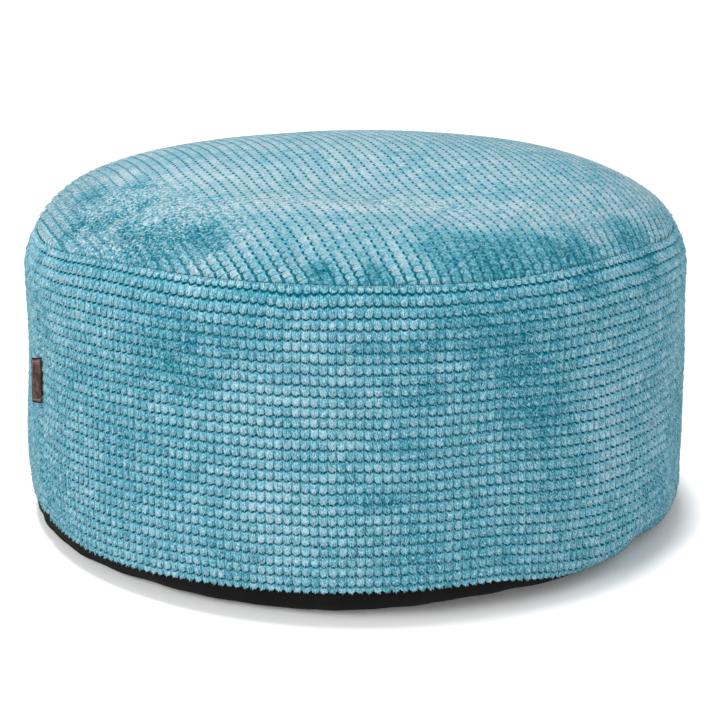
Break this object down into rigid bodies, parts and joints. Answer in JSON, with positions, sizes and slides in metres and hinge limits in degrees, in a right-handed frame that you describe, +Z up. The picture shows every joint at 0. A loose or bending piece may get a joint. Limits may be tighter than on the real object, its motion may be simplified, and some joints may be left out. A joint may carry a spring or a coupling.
{
  "type": "pouf ottoman",
  "caption": "Round filled pouf ottoman with a ribbed plush cover, a domed top with a shallow sat-in hollow and a plain cloth base.",
  "frame": {"origin": "centre of the flat base, on the surface that the pouf stands on", "axes": "+Z up, -Y to the front, with the label at the left of the front"},
  "size_m": [0.6967, 0.696, 0.3787],
  "materials": {
    "ribbed_plush": "deep ribbed plush with a soft sheen, blue green",
    "base_cloth": "plain woven cloth, black",
    "label_hide": "matt brown hide, stitched edge, no lettering"
  },
  "bodies": {
    "root": {"top_panel": "ribbed_plush", "side_band": "ribbed_plush", "base_panel": "base_cloth", "label": "label_hide"}
  },
  "joints": []
}
